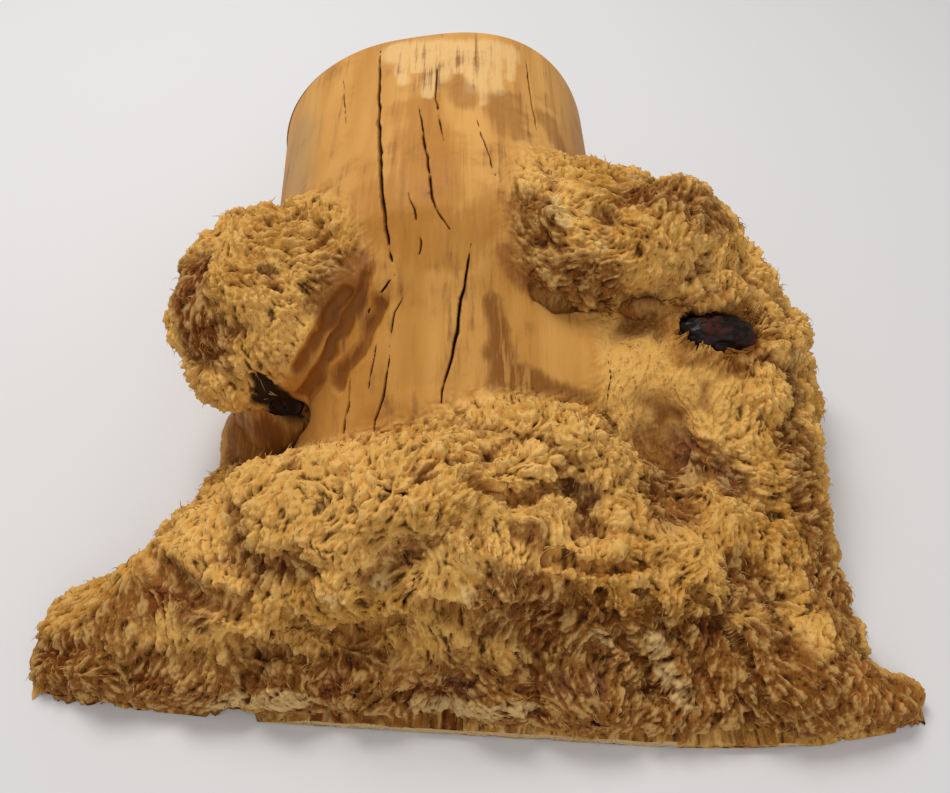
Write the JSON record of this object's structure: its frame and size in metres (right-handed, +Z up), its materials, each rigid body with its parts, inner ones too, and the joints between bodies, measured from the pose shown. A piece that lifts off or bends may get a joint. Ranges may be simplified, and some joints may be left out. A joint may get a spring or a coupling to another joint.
{
  "type": "burl cap",
  "caption": "Solid bare-wood burl cap, sawn flat underneath to rest on, with knobbly burl masses round a smooth stub of the stem.",
  "frame": {"origin": "a point near the middle of the sawn base, on the base plane", "axes": "+Z up out of the sawn base, -Y towards the sawn front edge, +Y along the stem stub, +X to the right seen from the front"},
  "size_m": [0.368, 0.3364, 0.1331],
  "materials": {
    "burl_wood": "matt bare wood"
  },
  "bodies": {
    "root": {"burl_cap": "burl_wood"}
  },
  "joints": []
}
